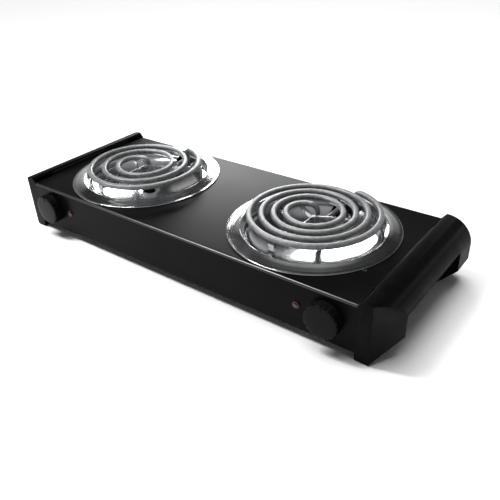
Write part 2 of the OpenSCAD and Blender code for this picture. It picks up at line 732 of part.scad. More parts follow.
lane_z = base_top + wire_r + 0.6;
block_front = block_y - block_size[1] / 2 - 0.3;
block_z = base_top + fit + 7;
reg_tail_y = panel_in + fit + reg_plate[1] + reg_block[1] + 7.2;
function lane_y(i) = 36 - i * 5;

module live_wire(s) {
    color([0.5, 0.1, 0.08]) wire([[s * 8, block_front, block_z], [s * 8, lane_y(0), block_z],
        [s * 8, lane_y(0), lane_z], [s * (knob_x + 7), lane_y(0), lane_z],
        [s * (knob_x + 7), reg_tail_y + 6, lane_z], [s * (knob_x + 7), reg_tail_y + 6, knob_z],
        [s * (knob_x + 7), reg_tail_y, knob_z]], wire_r);
}

module switched_wire(s) {
    tail_x = s * burner_x + legs_x(s) + s * legs_half(s);
    stud = top_z + leg_z - stud_r - 1.6;
    lane = s * (burner_x + 62);
    color([0.85, 0.85, 0.82]) wire([[s * (knob_x - 7), reg_tail_y, knob_z],
        [s * (knob_x - 7), reg_tail_y + 6, knob_z], [s * (knob_x - 7), reg_tail_y + 6, lane_z + 4],
        [lane, reg_tail_y + 6, lane_z + 4], [lane, 78, lane_z + 4],
        [tail_x, 78, lane_z + 4], [tail_x, burner_y + leg_end_y + 2.2, lane_z + 10],
        [tail_x, burner_y + leg_end_y + 2.2, stud]], wire_r);
}

module neutral_wire(s) {
    tail_x = s * burner_x + legs_x(s) - s * legs_half(s);
    stud = top_z + leg_z - stud_r - 1.6;
    color([0.85, 0.85, 0.82]) wire([[s * 12, block_front, block_z], [s * 12, lane_y(-2), block_z],
        [s * 44, lane_y(-2), lane_z + 2], [s * 60, 78, lane_z + 2],
        [tail_x, 78, lane_z + 2 + 8], [tail_x, burner_y + leg_end_y + 2.2, lane_z + 14],
        [tail_x, burner_y + leg_end_y + 2.2, stud]], wire_r);
}

module earth_wire() {
    color([0.3, 0.5, 0.2]) wire([[0, block_y + block_size[1] / 2 + 0.3, block_z],
        [0, block_y + block_size[1] / 2 + 6, block_z],
        [gland_x + 24, block_y + block_size[1] / 2 + 8, block_z],
        [gland_x + 24, block_y + block_size[1] / 2 + 8, gland_z - 1],
        [gland_x + 24, box_d / 2 - 8, gland_z]], wire_r);
}

placed() body_shell();
placed() base_plate();
placed() base_screws();
placed() end_cap(-1);  // left_end_cap
placed() end_cap(1);  // right_end_cap
placed() end_cap_screws();
placed() foot_pads();
placed() drip_pan(-1);  // left_drip_pan
placed() drip_pan(1);  // right_drip_pan
placed() right_pan_pip();
placed() heat_shield(-1);  // left_heat_shield
placed() heat_shield(1);  // right_heat_shield
placed() coil(-1);  // left_coil
placed() coil(1);  // right_coil
placed() coil_support(-1);  // left_coil_support
placed() coil_support(1);  // right_coil_support
placed() coil_clamp(-1);  // left_coil_clamp
placed() coil_clamp(1);  // right_coil_clamp
placed() coil_studs(-1);  // left_coil_studs
placed() coil_studs(1);  // right_coil_studs
placed() hinge_bracket(-1);  // left_hinge_bracket
placed() hinge_bracket(1);  // right_hinge_bracket
placed() hinge_pin(-1);  // left_hinge_pin
placed() hinge_pin(1);  // right_hinge_pin
placed() hinge_bracket_screws();
placed() regulator_frame(-1);  // left_regulator_frame
placed() regulator_frame(1);  // right_regulator_frame
placed() regulator_block(-1);  // left_regulator_block
placed() regulator_block(1);  // right_regulator_block
placed() regulator_screws();
placed() shaft(-1);  // left_shaft
placed() shaft(1);  // right_shaft
placed() knob(-1);  // left_knob
placed() knob(1);  // right_knob
placed() lamp_lens(-1);  // left_lamp_lens
placed() lamp_lens(1);  // right_lamp_lens
placed() lamp_body(-1);  // left_lamp_body
placed() lamp_body(1);  // right_lamp_body
placed() mains_terminal_block();
placed() terminal_block_screws();
placed() thermal_cutout();
placed() cutout_bracket();
placed() cord_gland();
placed() earth_screw();
placed() earth_wire();
placed() live_wire(-1);  // left_live_wire
placed() live_wire(1);  // right_live_wire
placed() switched_wire(-1);  // left_switched_wire
placed() switched_wire(1);  // right_switched_wire
placed() neutral_wire(-1);  // left_neutral_wire
placed() neutral_wire(1);  // right_neutral_wire
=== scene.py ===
import json
import math

import bpy
from mathutils import Matrix, Vector


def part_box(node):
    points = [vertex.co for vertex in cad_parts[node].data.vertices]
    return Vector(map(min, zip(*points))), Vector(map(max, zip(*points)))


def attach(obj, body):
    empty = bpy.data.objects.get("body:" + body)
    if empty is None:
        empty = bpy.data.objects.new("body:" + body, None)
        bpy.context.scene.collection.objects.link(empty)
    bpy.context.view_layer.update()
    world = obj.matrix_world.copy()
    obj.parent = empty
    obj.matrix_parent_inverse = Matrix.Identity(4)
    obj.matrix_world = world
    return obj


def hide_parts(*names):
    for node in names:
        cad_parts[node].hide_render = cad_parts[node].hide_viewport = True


# A double-burner electric hot plate. Everything is in metres, +X right, +Y back and +Z up.
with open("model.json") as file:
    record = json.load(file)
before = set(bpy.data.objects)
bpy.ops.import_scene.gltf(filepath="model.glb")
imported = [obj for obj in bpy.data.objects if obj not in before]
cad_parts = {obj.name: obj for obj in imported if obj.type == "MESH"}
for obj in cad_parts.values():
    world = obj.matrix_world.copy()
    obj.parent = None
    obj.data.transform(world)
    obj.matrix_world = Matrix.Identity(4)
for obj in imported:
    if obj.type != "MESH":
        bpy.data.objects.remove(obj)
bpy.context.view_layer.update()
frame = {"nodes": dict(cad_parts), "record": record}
nodes = frame["nodes"]
mm = 0.001
upward = Vector((0, 0, 1))
backward = Vector((0, 1, 0))

# the frame's own places: everything below is put where these say
shellLow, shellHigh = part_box("body_shell")
topZ = shellHigh.z
midY = (shellLow.y + shellHigh.y) / 2


def panCentre(side):
    low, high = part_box(side + "_drip_pan")
    return Vector(((low.x + high.x) / 2, (low.y + high.y) / 2, topZ))


# ---- small helpers round Blender's own tools ----
def clearSelection():
    if bpy.context.object and bpy.context.object.mode != "OBJECT":
        bpy.ops.object.mode_set(mode="OBJECT")
    bpy.ops.object.select_all(action="DESELECT")


def focus(piece):
    clearSelection()
    piece.select_set(True)
    bpy.context.view_layer.objects.active = piece


def newest(name):
    piece = bpy.context.object
    piece.name = name
    piece.data.name = name
    return piece


def settle(piece):
    # puts the place, turn and size into the mesh, so that the object sits at the origin
    focus(piece)
    bpy.ops.object.transform_apply(location=True, rotation=True, scale=True)
    return piece


def pick(piece, kind, test):
    # leaves edit mode on with the vertices, edges or faces that pass the test selected
    focus(piece)
    bpy.ops.object.mode_set(mode="EDIT")
    bpy.context.tool_settings.mesh_select_mode = (kind == "vertex", kind == "edge", kind == "face")
    bpy.ops.mesh.select_all(action="DESELECT")
    bpy.ops.object.mode_set(mode="OBJECT")
    mesh = piece.data
    if kind == "vertex":
        for vertex in mesh.vertices:
            vertex.select = test(vertex.co)
    elif kind == "edge":
        for edge in mesh.edges:
            edge.select = test(*[mesh.vertices[i].co for i in edge.vertices])
    else:
        for face in mesh.polygons:
            face.select = test(face.center, face.normal)
    bpy.ops.object.mode_set(mode="EDIT")


def editWhole(piece):
    # edit mode with every vertex selected
    focus(piece)
    bpy.ops.object.mode_set(mode="EDIT")
    bpy.context.tool_settings.mesh_select_mode = (True, False, False)
    bpy.ops.mesh.select_all(action="SELECT")


def done():
    bpy.ops.object.mode_set(mode="OBJECT")


def applyModifier(piece, kind, **values):
    modifier = piece.modifiers.new(kind.lower(), kind)
    for name, value in values.items():
        setattr(modifier, name, value)
    focus(piece)
    bpy.ops.object.modifier_apply(modifier=modifier.name)
    return piece


def cutAway(piece, cutter):
    applyModifier(piece, "BOOLEAN", operation="DIFFERENCE", solver="EXACT", object=cutter)
    bpy.data.objects.remove(cutter)


def softenEdges(piece, width, segments=3, angle=30):
    applyModifier(piece, "BEVEL", width=width, segments=segments, limit_method="ANGLE",
                  angle_limit=math.radians(angle), use_clamp_overlap=True)


def smooth(piece, angle=32):
    focus(piece)
    bpy.ops.object.shade_smooth_by_angle(angle=math.radians(angle))
    return piece


def facesOutward(piece):
    editWhole(piece)
    bpy.ops.mesh.remove_doubles(threshold=0.00002)
    bpy.ops.mesh.normals_make_consistent(inside=False)
    done()


def joined(pieces, name):
    clearSelection()
    for piece in pieces:
        piece.select_set(True)
    bpy.context.view_layer.objects.active = pieces[0]
    bpy.ops.object.join()
    return newest(name)


def twin(piece, name):
    copy = piece.copy()
    copy.data = piece.data.copy()
    bpy.context.scene.collection.objects.link(copy)
    copy.name = name
    copy.data.name = name
    return copy


def mirrored(piece, name):
    # the same piece for the other end of the box
    other = twin(piece, name)
    other.scale = (-1, 1, 1)
    settle(other)
    editWhole(other)
    bpy.ops.mesh.normals_make_consistent(inside=False)
    done()
    return other


def ringStack(name, rings, segments):
    # a turned shell about Z: one ring of the outline after another, each pulled out of the last
    radius, height = rings[0]
    bpy.ops.mesh.primitive_circle_add(vertices=segments, radius=radius, location=(0, 0, height))
    piece = settle(newest(name))
    editWhole(piece)
    for nextRadius, nextHeight in rings[1:]:
        step = (0, 0, nextHeight - height)
        bpy.ops.mesh.extrude_region_move(TRANSFORM_OT_translate={"value": step})
        grow = nextRadius / radius
        bpy.ops.transform.resize(value=(grow, grow, 1), center_override=(0, 0, nextHeight))
        radius, height = nextRadius, nextHeight
    done()
    return piece


def closeLastRing(piece, height, radius):
    # fills the open ring at this height and radius
    pick(piece, "vertex", lambda co: abs(co.z - height) < 1e-6 and math.hypot(co.x, co.y) < radius * 1.01)
    bpy.ops.mesh.edge_face_add()
    done()


def block(name, low, high):
    size = Vector(high) - Vector(low)
    bpy.ops.mesh.primitive_cube_add(size=1, location=(Vector(high) + Vector(low)) / 2)
    piece = newest(name)
    piece.scale = size
    return settle(piece)


def arcPoints(centre, radius, start, end, steps):
    turn = math.radians(end - start) / steps
    begin = math.radians(start)
    angles = [begin + i * turn for i in range(steps + 1)]
    x, y = centre
    return [(x + radius * math.cos(angle), y + radius * math.sin(angle)) for angle in angles]


def scaled(points):
    return [(r * mm, z * mm) for r, z in points]


# ---- finishes ----
def makeGroup(name, inputs, outputs):
    group = bpy.data.node_groups.new(name, "ShaderNodeTree")
    for label, value in inputs.items():
        socket = group.interface.new_socket(label, in_out="INPUT", socket_type="NodeSocketFloat")
        socket.default_value = value
    for label, kind in outputs.items():
        group.interface.new_socket(label, in_out="OUTPUT", socket_type=kind)
    entry = group.nodes.new("NodeGroupInput")
    leave = group.nodes.new("NodeGroupOutput")
    return group, entry, leave


def addNode(tree, kind, **values):
    node = tree.nodes.new(kind)
    for name, value in values.items():
        setattr(node, name, value)
    return node


def buildGrainGroup():
    # fine moulded grain: two sizes of bumps, and a slow change that breaks the gloss
    group, entry, leave = makeGroup("mouldedGrain",
                                    {"Grain Scale": 1600, "Grain Amount": 0.6, "Patch Scale": 30},
                                    {"Height": "NodeSocketFloat", "Patch": "NodeSocketFloat"})
    place = addNode(group, "ShaderNodeTexCoord")
    fine = addNode(group, "ShaderNodeTexVoronoi", feature="SMOOTH_F1")
    fine.inputs["Smoothness"].default_value = 0.6
    coarse = addNode(group, "ShaderNodeTexNoise")
    coarse.inputs["Detail"].default_value = 3
    patch = addNode(group, "ShaderNodeTexNoise")
    patch.inputs["Detail"].default_value = 4
    mix = addNode(group, "ShaderNodeMath", operation="MULTIPLY_ADD")
    link = group.links.new
    for texture in (fine, coarse, patch):
        link(place.outputs["Object"], texture.inputs["Vector"])
    link(entry.outputs["Grain Scale"], fine.inputs["Scale"])
    link(entry.outputs["Grain Scale"], coarse.inputs["Scale"])
    link(entry.outputs["Patch Scale"], patch.inputs["Scale"])
    link(fine.outputs["Distance"], mix.inputs[0])
    link(entry.outputs["Grain Amount"], mix.inputs[1])
    link(coarse.outputs["Fac"], mix.inputs[2])
    link(mix.outputs[0], leave.inputs["Height"])
    link(patch.outputs["Fac"], leave.inputs["Patch"])
    return group


def buildMetalGroup():
    # worked metal: drawn-out scratches along one axis over slow stains
    group, entry, leave = makeGroup("workedMetal", {"Line Scale": 900, "Stretch": 30, "Stain Scale": 60},
                                    {"Lines": "NodeSocketFloat", "Stain": "NodeSocketFloat"})
    place = addNode(group, "ShaderNodeTexCoord")
    apart = addNode(group, "ShaderNodeSeparateXYZ")
    shrink = addNode(group, "ShaderNodeMath", operation="DIVIDE")
    together = addNode(group, "ShaderNodeCombineXYZ")
    lines = addNode(group, "ShaderNodeTexNoise")
    lines.inputs["Detail"].default_value = 2
    stain = addNode(group, "ShaderNodeTexNoise")
    stain.inputs["Detail"].default_value = 6
    stain.inputs["Roughness"].default_value = 0.62
    link = group.links.new
    link(place.outputs["Object"], apart.inputs[0])
    link(apart.outputs["X"], shrink.inputs[0])
    link(entry.outputs["Stretch"], shrink.inputs[1])
    link(shrink.outputs[0], together.inputs["X"])
    link(apart.outputs["Y"], together.inputs["Y"])
    link(apart.outputs["Z"], together.inputs["Z"])
    link(together.outputs[0], lines.inputs["Vector"])
    link(entry.outputs["Line Scale"], lines.inputs["Scale"])
    link(place.outputs["Object"], stain.inputs["Vector"])
    link(entry.outputs["Stain Scale"], stain.inputs["Scale"])
    link(lines.outputs["Fac"], leave.inputs["Lines"])
    link(stain.outputs["Fac"], leave.inputs["Stain"])
    return group


grainGroup = buildGrainGroup()
metalGroup = buildMetalGroup()


def startMaterial(name, metallic=0.0, specular=0.5):
    material = bpy.data.materials.new(name)
    material.use_nodes = True
    tree = material.node_tree
    shader = tree.nodes["Principled BSDF"]
    shader.inputs["Metallic"].default_value = metallic
    shader.inputs["Specular IOR Level"].default_value = specular
    return material, tree, shader


def useGroup(tree, group, **values):
    node = tree.nodes.new("ShaderNodeGroup")
    node.node_tree = group
    for name, value in values.items():
        node.inputs[name].default_value = value
    return node


def rampOf(tree, mask, stops):
    # a colour ramp along the mask: each stop is a place and a colour
    ramp = tree.nodes.new("ShaderNodeValToRGB")
    elements = ramp.color_ramp.elements
    elements[0].position, elements[0].color = stops[0][0], (*stops[0][1], 1)
    elements[1].position, elements[1].color = stops[-1][0], (*stops[-1][1], 1)
    for position, colour in stops[1:-1]:
        elements.new(position).color = (*colour, 1)
    tree.links.new(mask, ramp.inputs["Fac"])
    return ramp.outputs["Color"]


def greyRamp(tree, mask, stops):
    return rampOf(tree, mask, [(position, (grey, grey, grey)) for position, grey in stops])


def heightOf(tree, output):
    # the Z part of one of the texture coordinates
    place = tree.nodes.new("ShaderNodeTexCoord")
    apart = tree.nodes.new("ShaderNodeSeparateXYZ")
    tree.links.new(place.outputs[output], apart.inputs[0])
    return apart.outputs["Z"]


def twoTones(tree, mask, dark, light):
    # the noise of a mask stays near its middle, so the tones meet there
    return rampOf(tree, mask, [(0.35, dark), (0.65, light)])


def between(tree, mask, low, high):
    # a value that follows the middle of the mask's range from low to high
    reach = tree.nodes.new("ShaderNodeMapRange")
    reach.inputs["From Min"].default_value = 0.3
    reach.inputs["From Max"].default_value = 0.7
    reach.inputs["To Min"].default_value = low
    reach.inputs["To Max"].default_value = high
    tree.links.new(mask, reach.inputs["Value"])
    return reach.outputs["Result"]


def bumpFrom(tree, height, strength, distance):
    bump = tree.nodes.new("ShaderNodeBump")
    bump.inputs["Strength"].default_value = strength
    bump.inputs["Distance"].default_value = distance
    tree.links.new(height, bump.inputs["Height"])
    return bump.outputs["Normal"]


def grainMaterial(name, dark, light, rough, specular=0.5, grain=1600, amount=0.6, patch=30, bump=0.2,
                  depth=0.0001):
    material, tree, shader = startMaterial(name, specular=specular)
    grainNode = useGroup(tree, grainGroup,
                         **{"Grain Scale": grain, "Grain Amount": amount, "Patch Scale": patch})
    link = tree.links.new
    link(twoTones(tree, grainNode.outputs["Patch"], dark, light), shader.inputs["Base Color"])
    link(between(tree, grainNode.outputs["Patch"], *rough), shader.inputs["Roughness"])
    link(bumpFrom(tree, grainNode.outputs["Height"], bump, depth), shader.inputs["Normal"])
    return material


def metalMaterial(name, dark, light, rough, lines=900, stretch=30, stain=60, bump=0.15, depth=0.0001,
                  metallic=1.0):
    material, tree, shader = startMaterial(name, metallic=metallic)
    metalNode = useGroup(tree, metalGroup, **{"Line Scale": lines, "Stretch": stretch, "Stain Scale": stain})
    link = tree.links.new
    link(twoTones(tree, metalNode.outputs["Stain"], dark, light), shader.inputs["Base Color"])
    link(between(tree, metalNode.outputs["Stain"], *rough), shader.inputs["Roughness"])
    link(bumpFrom(tree, metalNode.outputs["Lines"], bump, depth), shader.inputs["Normal"])
    return material


def glossOnFolds(material, fold):
    # the enamel is smoothest where the sheet is rolled over from the walls to the top
    tree = material.node_tree
    gloss = tree.nodes["Principled BSDF"].inputs["Specular IOR Level"]
    flat = gloss.default_value
    stops = [(0.15, flat), (0.3, fold), (0.9, fold), (0.99, flat)]
    tree.links.new(greyRamp(tree, heightOf(tree, "Normal"), stops), gloss)


finishes = {
    "body_enamel": grainMaterial("blackEnamel", (0.0022, 0.0022, 0.0024), (0.004, 0.004, 0.0043),
                                 (0.28, 0.35), specular=0.035, grain=420, amount=0.3, patch=14,
                                 bump=0.06, depth=0.0002),
    "black_moulding": grainMaterial("blackMoulding", (0.0018, 0.0018, 0.002), (0.0032, 0.0032, 0.0034),
                                    (0.42, 0.55), specular=0.05, grain=2200, patch=40, bump=0.22),
    "polished_chrome": metalMaterial("polishedChrome", (0.6, 0.61, 0.62), (0.74, 0.75, 0.76), (0.08, 0.19),
                                     lines=260, stretch=1, stain=35, bump=0.05, depth=0.0004),
    "heating_sheath": metalMaterial("oxidisedSheath", (0.16, 0.162, 0.166), (0.27, 0.273, 0.278),
                                    (0.38, 0.5), lines=1400, stretch=1, stain=240, bump=0.25,
                                    depth=0.00012, metallic=0.6),
    "support_steel": metalMaterial("stampedStrip", (0.34, 0.34, 0.35), (0.5, 0.5, 0.51), (0.22, 0.36),
                                   stain=150),
    "shield_aluminised": metalMaterial("aluminisedSheet", (0.5, 0.51, 0.52), (0.66, 0.67, 0.68),
                                       (0.34, 0.5), lines=500, stretch=1, stain=220),
    "pad_rubber": grainMaterial("padRubber", (0.02, 0.02, 0.02), (0.035, 0.035, 0.034), (0.7, 0.85),
                                grain=1800, bump=0.4),
    "knob_plastic": grainMaterial("knobPlastic", (0.002, 0.002, 0.0022), (0.0035, 0.0035, 0.0038),
                                  (0.2, 0.3), specular=0.07, grain=2400, amount=0.3, bump=0.06,
                                  depth=0.00005),
    "lamp_lens": grainMaterial("lampLens", (0.012, 0.0015, 0.001), (0.02, 0.002, 0.0016), (0.06, 0.1),
                               specular=0.6, grain=900, amount=0.2, patch=300, bump=0.04),
    "insulator_ceramic": grainMaterial("steatite", (0.68, 0.65, 0.58), (0.78, 0.75, 0.68), (0.45, 0.6),
                                       grain=1300, patch=120, bump=0.2),
    "cutout_phenolic": grainMaterial("phenolic", (0.03, 0.017, 0.01), (0.06, 0.035, 0.022), (0.35, 0.5),
                                     grain=1500, patch=200),
    "screw_brass": metalMaterial("plainBrass", (0.62, 0.45, 0.19), (0.78, 0.6, 0.29), (0.22, 0.35),
                                 stain=300),
    "wire_green": grainMaterial("greenSleeve", (0.03, 0.16, 0.03), (0.05, 0.24, 0.05), (0.45, 0.6),
                                grain=1700, patch=160),
    "wire_red": grainMaterial("redSleeve", (0.26, 0.015, 0.012), (0.36, 0.03, 0.022), (0.45, 0.6),
                              grain=1700, patch=160),
    "wire_white": grainMaterial("glassSleeve", (0.58, 0.56, 0.5), (0.72, 0.7, 0.64), (0.6, 0.75),
                                grain=1200, patch=200, bump=0.5),
    "black_screw": metalMaterial("blackenedScrew", (0.02, 0.02, 0.022), (0.045, 0.045, 0.048), (0.3, 0.45),
                                 stain=300, metallic=0.7),
    "zinc_steel": metalMaterial("zincSteel", (0.5, 0.51, 0.53), (0.66, 0.67, 0.68), (0.26, 0.42),
                                stain=110),
}
glossOnFolds(finishes["body_enamel"], 1.0)
slotOf = {row["node"]: row["material_slot"] for row in frame["record"]["subparts"]}


def dress(piece, slotName):
    piece.data.materials.clear()
    piece.data.materials.append(finishes[slotName])
    return piece


for nodeName, node in nodes.items():
    dress(node, slotOf[nodeName])
print("finishes on", len(nodes), "nodes")


def takeOver(piece, nodeName, body="root"):
    # the piece stands for this node, in its finish, on its body
    dress(piece, slotOf[nodeName])
    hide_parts(nodeName)
    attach(piece, body)
    return piece


# ---- camera ----
cameraPlan = {"place": (0.4319, -0.4903, 0.394), "turn": (58.365, 2.132, 36.984), "lens": 42.61,
              "sensor": 36.0, "near": 0.01}


def buildCamera(plan):
    data = bpy.data.cameras.new("camera")
    data.lens = plan["lens"]
    data.sensor_width = plan["sensor"]
    data.clip_start = plan["near"]
    camera = bpy.data.objects.new("camera", data)
    camera.location = plan["place"]
    camera.rotation_euler = [math.radians(angle) for angle in plan["turn"]]
    bpy.context.scene.collection.objects.link(camera)
    bpy.context.scene.camera = camera


buildCamera(cameraPlan)

# ---- drip pans ----
panPlan = {"ringSegments": 160, "sheet": 0.6, "flange": 16, "flangeEdge": 1.35, "flangeDrop": 2.4,
           "bead": 0.7, "mouthBead": 1.15, "ledge": -5.0, "ledgeWidth": 5.0, "ledgeIn": 3.0,
           "ledgeBend": 1.3, "bowlSteps": 16, "holeRadius": 9.0, "holeLip": 0.35, "rimHeight": 0.75,
           "notchTop": -1.6, "notchSide": 1.4, "notchFront": 57.5, "notchDeep": 40}


def panOutline(plan, rim, depth, crest):
    # from the flange's rolled edge, over its crest and the ledge, down to the hole in the bowl
    mouth = rim - plan["flange"]
    ledge = plan["ledge"]
    ledgeRadius = mouth - plan["ledgeIn"]
    bowlRadius = ledgeRadius - plan["ledgeWidth"]
    bead = plan["bead"]
    lip = plan["mouthBead"]
    bend = plan["ledgeBend"]
    outline = arcPoints((rim - bead, plan["rimHeight"] + 0.1), bead, -60, 100, 7)
    edge = rim - 2.2
    rise = (crest - plan["flangeDrop"]) / (edge - mouth - 3)
    outline += [(edge - step, plan["flangeEdge"] + rise * step) for step in (0, 3, 7, 11)]
    outline += arcPoints((mouth + 0.85, crest - lip), lip, 75, 185, 7)
    outline += [(mouth - 0.7, 0.6), (ledgeRadius + 0.95, -2.6)]
    outline += arcPoints((ledgeRadius - 0.6, ledge + bend), bend, 0, -90, 4)
    outline += [(ledgeRadius - 2.4, ledge), (bowlRadius + 0.7, ledge)]
    for i in range(1, plan["bowlSteps"]):
        turn = math.radians(90 * i / plan["bowlSteps"])
        # a round wall that runs out into a flatter floor
        fall = (depth + ledge) * math.sin(turn) * (0.55 + 0.45 * math.sin(turn))
        outline.append((bowlRadius * math.cos(turn), ledge - fall))
    hole = plan["holeRadius"]
    outline = [point for point in outline if point[0] > hole + 1.5]
    return outline + [(hole + 1.2, -depth), (hole, -depth - plan["holeLip"])]


def facesUp(piece):
    # a thin open shell whose upper side is its outside
    editWhole(piece)
    bpy.ops.mesh.normals_make_consistent(inside=False)
    done()
    if sum(face.normal.z * face.area for face in piece.data.polygons) < 0:
        editWhole(piece)
        bpy.ops.mesh.flip_normals()
        done()


def buildPan(side, plan):
    low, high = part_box(side + "_drip_pan")
    centre = panCentre(side)
    rim = (high.x - low.x) / 2 / mm
    depth = (topZ - low.z) / mm - plan["sheet"]
    crest = (high.z - topZ) / mm
    pan = ringStack(side + "DripPan", scaled(panOutline(plan, rim, depth, crest)), plan["ringSegments"])
    pan.location = centre
    settle(pan)
    facesUp(pan)
    applyModifier(pan, "SOLIDIFY", thickness=plan["sheet"] * mm, offset=-1)
    # the notch that the element's two legs pass through
    legLow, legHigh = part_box(side + "_coil_clamp")
    top = topZ + plan["notchTop"] * mm
    aside = plan["notchSide"] * mm
    notchLow = (legLow.x - aside, centre.y + plan["notchFront"] * mm, top - plan["notchDeep"] * mm)
    cutAway(pan, block("notch", notchLow, (legHigh.x + aside, high.y, top)))
    smooth(pan, 40)
    return takeOver(pan, side + "_drip_pan")


for side in ("left", "right"):
    buildPan(side, panPlan)
print("drip pans")

# ---- coil elements ----
coilPlan = {
    "left": {"radius": 75.6, "pitch": 17.9, "sweep": 910, "pole": (-0.6, -6.3)},
    "right": {"radius": 76.2, "pitch": 13.7, "sweep": 1270, "pole": (-3.1, 0.5)},
    "tube": 3.4, "flat": 0.82, "spiralAngle": 25, "entry": (70, 50), "inner": (20, 95), "bend": 8,
    "legEnd": 90, "legHeight": -10, "ringSides": 24, "stepAngle": 4.2, "bendSteps": 9, "flatPress": 0.12,
    "crimpIn": 0.7, "crimpLip": 0.5,
}


def coilArcs(plan, own):
    # radius and turn of each arc: the entry, the spiral's half turns and the inner end
    arcs = [plan["entry"]]
    left = own["sweep"]
    radius = own["radius"] - own["pitch"] / 4
    while left > 0:
        arcs.append((radius, min(180, left)))
        left -= 180
        radius -= own["pitch"] / 2
    return arcs + [plan["inner"]]


class TubeMaker:
    # a tube that grows from its last ring: straight runs are extruded and bends are spun
    def __init__(self, name, start, radius, sides):
        bpy.ops.mesh.primitive_circle_add(vertices=sides, radius=radius, location=start,
                                          rotation=(math.radians(90), 0, 0))
        self.piece = settle(newest(name))
        self.end = Vector(start)
        editWhole(self.piece)

    def run(self, step):
        bpy.ops.mesh.extrude_region_move(TRANSFORM_OT_translate={"value": step})
        self.end += Vector(step)

    def turn(self, centre, axis, angle, steps):
        # with no window, spin turns the other way about its axis
        bpy.ops.mesh.spin(steps=steps, angle=-math.radians(angle), center=centre, axis=axis)
        swing = Matrix.Rotation(math.radians(angle), 3, Vector(axis))
        self.end = Vector(centre) + swing @ (self.end - Vector(centre))

    def bendTo(self, heading, goal, radius, steps):
        heading, goal = Vector(heading), Vector(goal)
        self.turn(self.end + goal * radius, heading.cross(goal), 90, steps)


def pointing(angle):
    return Vector((math.cos(math.radians(angle)), math.sin(math.radians(angle)), 0))


def buildCoil(side, plan):
    own = plan[side]
    centre = panCentre(side)
    tube = plan["tube"] * mm
    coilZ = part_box(side + "_coil")[1].z - tube
    bend = plan["bend"] * mm
    legZ = topZ + plan["legHeight"] * mm
    legEnd = centre.y + plan["legEnd"] * mm
    entryRadius, entryTurn = plan["entry"]
    angle = plan["spiralAngle"] + entryTurn
    middle = Vector((centre.x, centre.y, coilZ)) + Vector((*own["pole"], 0)) * mm
    middle += pointing(plan["spiralAngle"]) * (own["radius"] - entryRadius) * mm
    start = middle + pointing(angle) * entryRadius * mm
    foot = start + pointing(angle + 90) * bend
    maker = TubeMaker(side + "Coil", (foot.x, legEnd, legZ), tube, plan["ringSides"])
    maker.run((0, foot.y + bend - legEnd, 0))
    maker.bendTo(-backward, upward, bend, plan["bendSteps"])
    maker.run((0, 0, coilZ - legZ - 2 * bend))
    maker.bendTo(upward, pointing(angle - 90), bend, plan["bendSteps"])
    lastRadius = entryRadius
    for radius, turn in coilArcs(plan, own):
        middle += pointing(angle) * (lastRadius - radius) * mm
        maker.turn(middle, upward, -turn, max(3, round(turn / plan["stepAngle"])))
        angle -= turn
        lastRadius = radius
    maker.bendTo(pointing(angle - 90), -upward, bend, plan["bendSteps"])
    maker.run((0, 0, legZ + 2 * bend - coilZ))
    maker.bendTo(-upward, backward, bend, plan["bendSteps"])
    maker.run((0, legEnd - maker.end.y, 0))
    done()
    coil = maker.piece
    facesOutward(coil)
    # the rolled flat on the tube's top, where pans stand
    flat = coilZ + plan["flat"] * tube
    pick(coil, "vertex", lambda co: co.z > flat)
    bpy.ops.transform.resize(value=(1, 1, plan["flatPress"]), center_override=(0, 0, flat))
    done()
    # both ends are crimped shut round their studs
    pick(coil, "vertex", lambda co: co.y > legEnd - 0.01 * mm)
    bpy.ops.mesh.edge_face_add()
    crimpLip = plan["crimpLip"] * mm
    bpy.ops.mesh.inset(thickness=plan["crimpIn"] * mm, depth=0)
    bpy.ops.mesh.inset(thickness=crimpLip, depth=-crimpLip)
    done()
    smooth(coil, 50)
    return takeOver(coil, side + "_coil", side + "_element")


for side in ("left", "right"):
    buildCoil(side, coilPlan)
print("coil elements")

# ---- end caps ----
capPlan = {"wall": 2.5, "rise": 6.0, "crown": 30.0, "ridge": 5.0, "frontFace": 16.0, "sweep": 34.0,
           "sole": 15.0, "slant": 23.0, "grip": 134.0, "skirt": 18.0, "edge": 0.9, "crownSegments": 20,
           "lug": (15, 12, 12), "lugIn": 2, "tongue": (7, 12, 2.0), "tongueDown": 0.9, "overlap": 0.5,
           "extraEdge": 0.4, "soleMore": 0.5, "hollowOut": 2}


def bisectAway(piece, point, normal):
    # cuts off what lies beyond the plane, on the side that its normal points to
    editWhole(piece)
    bpy.ops.mesh.bisect(plane_co=point, plane_no=normal, use_fill=True, clear_outer=True)
    done()


def capForm(name, plan, wall, inner, lowY, highY, lowZ):
    # the cap's outer form, or its hollow when wall is not zero: a block with a rounded crown,
    # a slanted lower side, a swept front corner and a sloping ridge
    capLow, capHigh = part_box("right_end_cap")
    end = shellHigh.x
    out = capHigh.x - end
    front = capLow.y
    low = Vector((end + inner, lowY, lowZ))
    high = Vector((capHigh.x - wall, highY, capHigh.z - wall))
    form = block(name, low, high)
    near = 0.01 * mm
    pick(form, "edge", lambda a, b: min(a.x, b.x) > high.x - near and min(a.z, b.z) > high.z - near)
    bpy.ops.mesh.bevel(offset=plan["crown"] * mm - wall, segments=plan["crownSegments"], affect="EDGES")
    done()
    slant = Vector((plan["slant"] * mm, 0, plan["sole"] * mm - out)).normalized()
    sole = Vector((end + plan["sole"] * mm, 0, capLow.z))
    bisectAway(form, sole - slant * wall, slant)
    sweep = Vector((plan["sweep"] * mm, plan["frontFace"] * mm - out, 0)).normalized()
    corner = Vector((end + plan["frontFace"] * mm, front, 0))
    bisectAway(form, corner - sweep * wall, sweep)
    if wall == 0:
        ridge = Vector((-plan["rise"], 0, plan["ridge"])).normalized()
        bisectAway(form, (end, 0, topZ), ridge)
    return form


